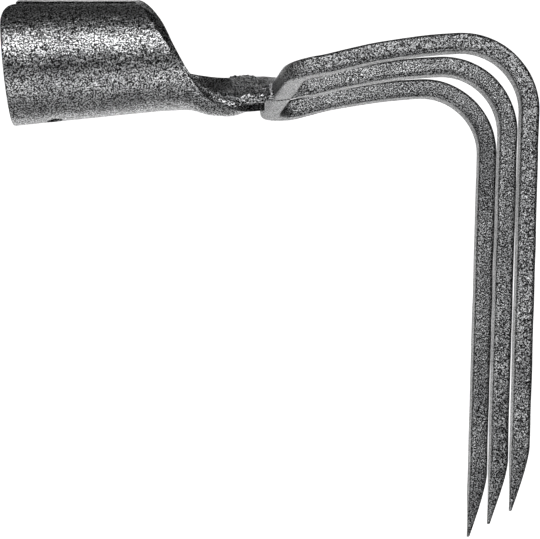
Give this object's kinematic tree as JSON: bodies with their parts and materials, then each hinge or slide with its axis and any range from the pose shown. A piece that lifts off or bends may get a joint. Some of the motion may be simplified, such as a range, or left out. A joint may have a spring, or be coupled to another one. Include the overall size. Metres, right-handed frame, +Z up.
{
  "type": "hand cultivator",
  "caption": "Head of a hand cultivator: a rolled sheet handle socket with a flat tongue, and bent bar tines welded to it as a rigid fork.",
  "frame": {"origin": "middle of the socket's mouth, on the socket's axis", "axes": "+X along the socket's axis from the mouth towards the fork, +Z up and away from the tines' points, +Y to the left when looking along +X"},
  "size_m": [0.1828, 0.0826, 0.1945],
  "materials": {
    "coated_steel": "dark graphite hammered coat, semi-gloss, with a fine bright speckle",
    "weld_metal": "rough weld bead under the same dark coat, a little lighter"
  },
  "bodies": {
    "root": {"socket_shank": "coated_steel", "middle_tine": "coated_steel", "left_tine": "coated_steel", "right_tine": "coated_steel", "neck_weld": "weld_metal", "left_back_weld": "weld_metal", "left_front_weld": "weld_metal", "right_back_weld": "weld_metal", "right_front_weld": "weld_metal"}
  },
  "joints": []
}
